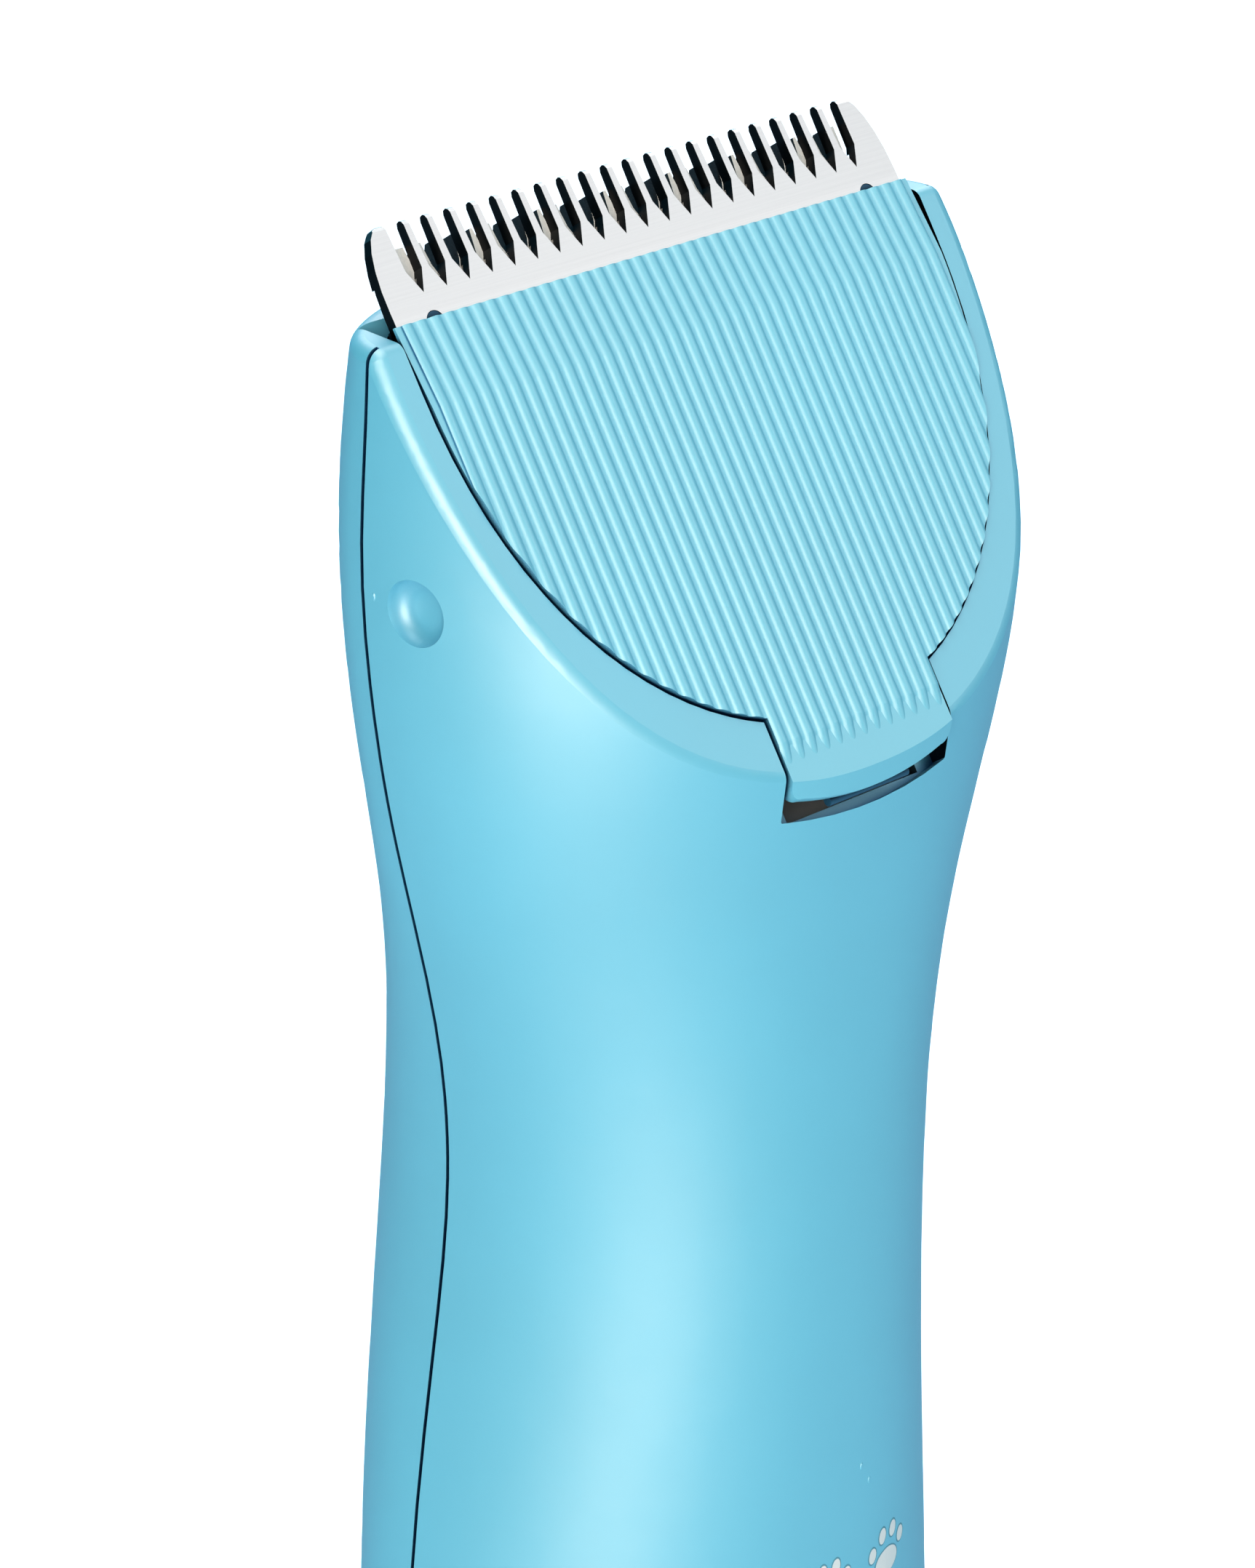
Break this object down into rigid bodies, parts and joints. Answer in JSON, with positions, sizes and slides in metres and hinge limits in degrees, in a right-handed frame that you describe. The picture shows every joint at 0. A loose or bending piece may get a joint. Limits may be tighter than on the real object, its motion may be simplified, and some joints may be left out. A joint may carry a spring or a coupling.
{
  "type": "electric pet clipper",
  "caption": "Cordless pet hair clipper with a steel comb blade, sliding cutter, lift-off ribbed head, waisted two-part plastic grip, push button and charging port in a flat base.",
  "frame": {"origin": "centre of the bounding box at the flat base", "axes": "+Z along the grip from the base up to the comb tips, -Y the front with the ribbed head cover and button, X the width"},
  "size_m": [0.0424, 0.0309, 0.1558],
  "materials": {
    "shell_blue": "satin",
    "cover_blue": "satin",
    "carrier_blue": "satin",
    "blade_steel": "brushed",
    "cutter_ceramic": "polished ceramic",
    "spring_steel": "rolled",
    "screw_steel": "plated",
    "driver_white": "satin",
    "frame_grey": "satin",
    "seal_rubber": "matte",
    "hub_black": "satin",
    "motor_steel": "zinc plated",
    "magnet_dark": "sintered",
    "rotor_copper": "wound",
    "bearing_bronze": "sintered",
    "endcap_black": "satin",
    "contact_tin": "tinned",
    "battery_wrap": "shrink film",
    "nickel": "rolled",
    "board_green": "solder mask",
    "chip_black": "moulded",
    "ferrite_grey": "sintered",
    "capacitor_tan": "fired",
    "switch_black": "moulded",
    "button_blue": "satin",
    "ring_clear": "frosted",
    "lamp_white": "clear lens",
    "port_steel": "drawn"
  },
  "bodies": {
    "housing": {"front_shell": "shell_blue", "back_shell": "shell_blue", "base_cap": "carrier_blue", "base_screws": "screw_steel", "base_bosses": "frame_grey", "drive_deck": "frame_grey", "deck_screws": "screw_steel", "shaft_seal": "seal_rubber", "motor_can": "motor_steel", "motor_magnets": "magnet_dark", "motor_end_cap": "endcap_black", "motor_terminals": "contact_tin", "upper_bearing": "bearing_bronze", "lower_bearing": "bearing_bronze", "inner_frame": "frame_grey", "battery_cell": "battery_wrap", "battery_button": "nickel", "battery_tabs": "nickel", "circuit_board": "board_green", "board_screws": "screw_steel", "charge_chip": "chip_black", "coil_block": "ferrite_grey", "capacitors": "capacitor_tan", "switch_body": "switch_black", "indicator_ring": "ring_clear", "indicator_lights": "lamp_white", "port_shell": "port_steel", "port_tongue": "chip_black"},
    "rotor": {"motor_shaft": "spring_steel", "drive_hub": "hub_black", "drive_pin": "spring_steel", "armature": "rotor_copper"},
    "head": {"head_cover": "cover_blue", "head_carrier": "carrier_blue", "comb_blade": "blade_steel", "blade_screws": "screw_steel", "cutter_spring": "spring_steel"},
    "cutter": {"cutter_blade": "cutter_ceramic", "cutter_yoke": "driver_white"},
    "button": {"button_cap": "button_blue", "switch_plunger": "switch_black"}
  },
  "joints": [
    {"name": "rotor_spin", "type": "hinge", "parent": "housing", "child": "rotor", "pos_m": [0, -0.0008, 0.096], "axis": [0, 0, 1], "continuous": true},
    {"name": "head_tilt", "type": "hinge", "parent": "housing", "child": "head", "pos_m": [0, -0.01447, 0.1261], "axis": [1, 0, 0], "range_deg": [0, 35]},
    {"name": "cutter_stroke", "type": "slide", "parent": "head", "child": "cutter", "axis": [1, 0, 0], "range_m": [-0.001, 0.001]},
    {"name": "button_press", "type": "slide", "parent": "housing", "child": "button", "axis": [0, 1, 0], "range_m": [0, 0.0003], "stiffness_N_per_m": 1500}
  ]
}
